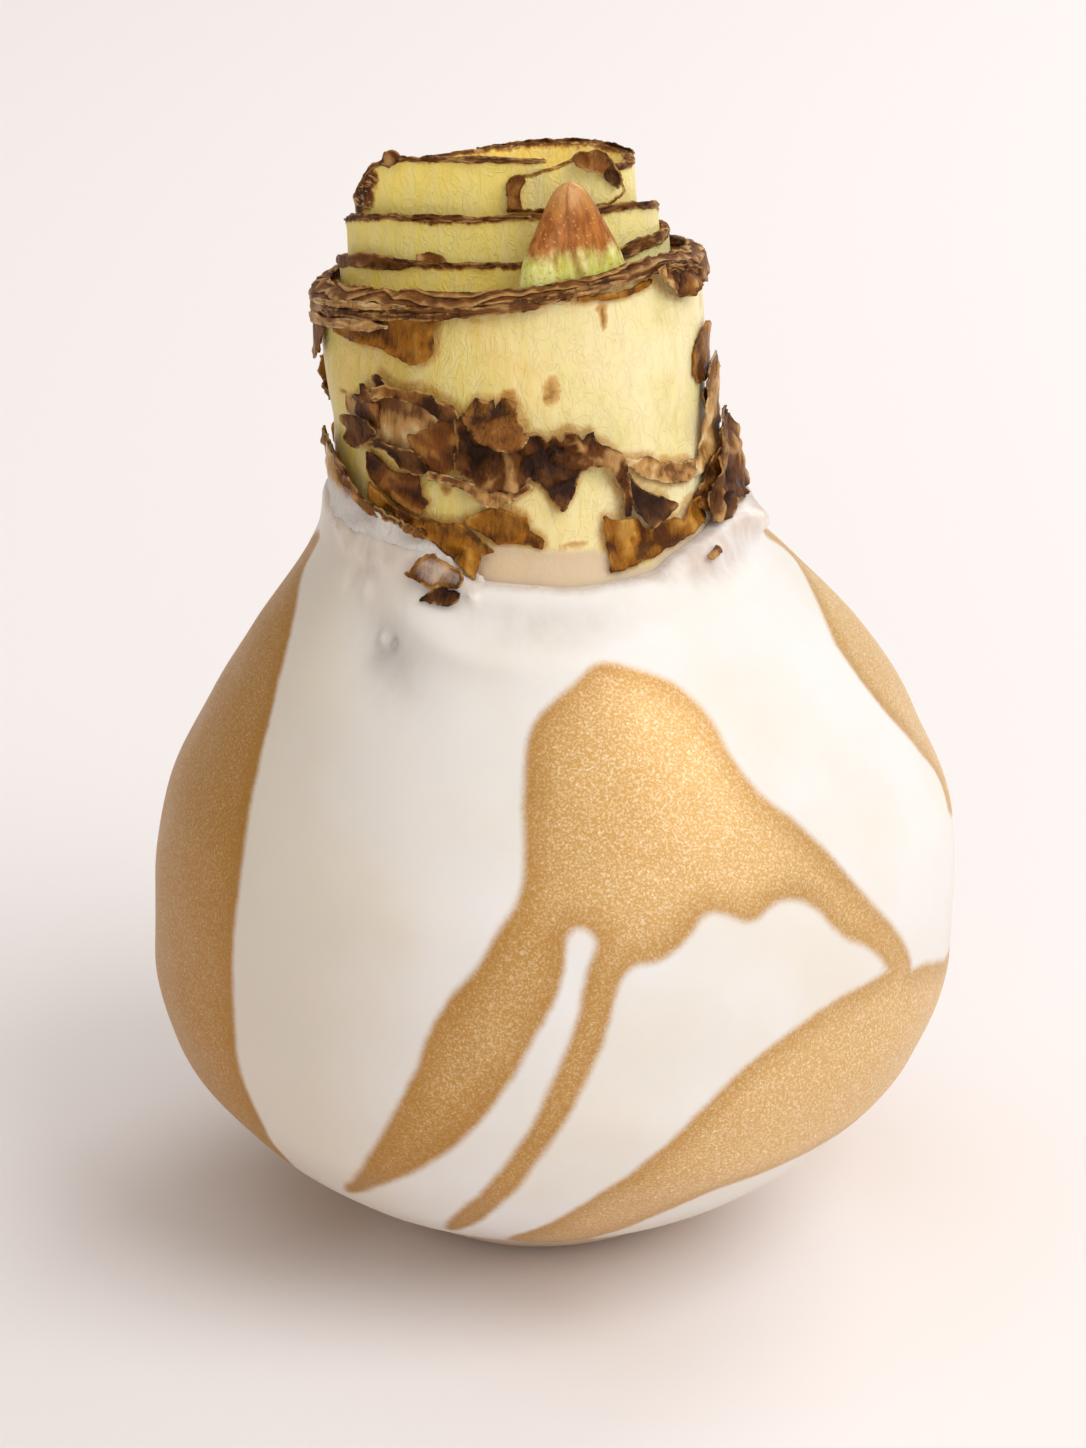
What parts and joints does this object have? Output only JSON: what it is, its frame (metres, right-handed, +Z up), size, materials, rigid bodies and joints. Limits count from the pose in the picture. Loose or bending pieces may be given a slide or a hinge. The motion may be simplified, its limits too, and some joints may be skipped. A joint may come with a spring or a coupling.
{
  "type": "waxed amaryllis bulb",
  "caption": "Amaryllis bulb dipped in wax, with a bare cut neck of nested leaf bases, a short flower bud and dry papery skin, standing on a small flat foot.",
  "frame": {"origin": "under the middle of the belly, on the flat foot of the wax that the bulb stands on", "axes": "+Z up along the bulb's height, -Y towards the side with the bud, +X to the right of that side"},
  "size_m": [0.1001, 0.1001, 0.1379],
  "materials": {
    "wax": "dipped wax, satin, warm white with areas of fine gold",
    "neck_flesh": "smooth waxy plant flesh, pale yellow green",
    "leaf_base": "cut fleshy leaf base, pale yellow green with dry brown rims",
    "bud": "glossy bud, reddish brown above and green below",
    "old_scale": "dried outer scale, pale flesh with brown edges",
    "dry_skin": "crumpled papery bulb skin, mid brown",
    "dark_skin": "crumpled papery bulb skin, dark brown",
    "amber_skin": "thin amber papery bulb skin, half clear",
    "pale_skin": "thin pale tan papery bulb skin"
  },
  "bodies": {
    "root": {"wax_coat": "wax", "bulb_body": "neck_flesh", "leaf_base_outer": "leaf_base", "leaf_base_middle": "leaf_base", "leaf_base_wrap": "leaf_base", "leaf_base_inner": "leaf_base", "flower_bud": "bud", "outer_scale_left": "old_scale", "outer_scale_right": "old_scale", "tunic_collar": "dry_skin", "tunic_flap_left": "dry_skin", "tunic_tag_left": "dry_skin", "tunic_band_front": "dark_skin", "tunic_curl_front": "dry_skin", "tunic_twist_right": "dark_skin", "tunic_flake_left": "amber_skin", "tunic_flake_right": "amber_skin", "tunic_strip_right": "pale_skin", "tunic_skirt_left": "pale_skin", "tunic_band_back": "dark_skin", "tunic_skirt_back": "amber_skin", "tunic_flake_back": "dry_skin", "tunic_chip_upper": "dry_skin", "tunic_chip_lower": "dark_skin"}
  },
  "joints": []
}
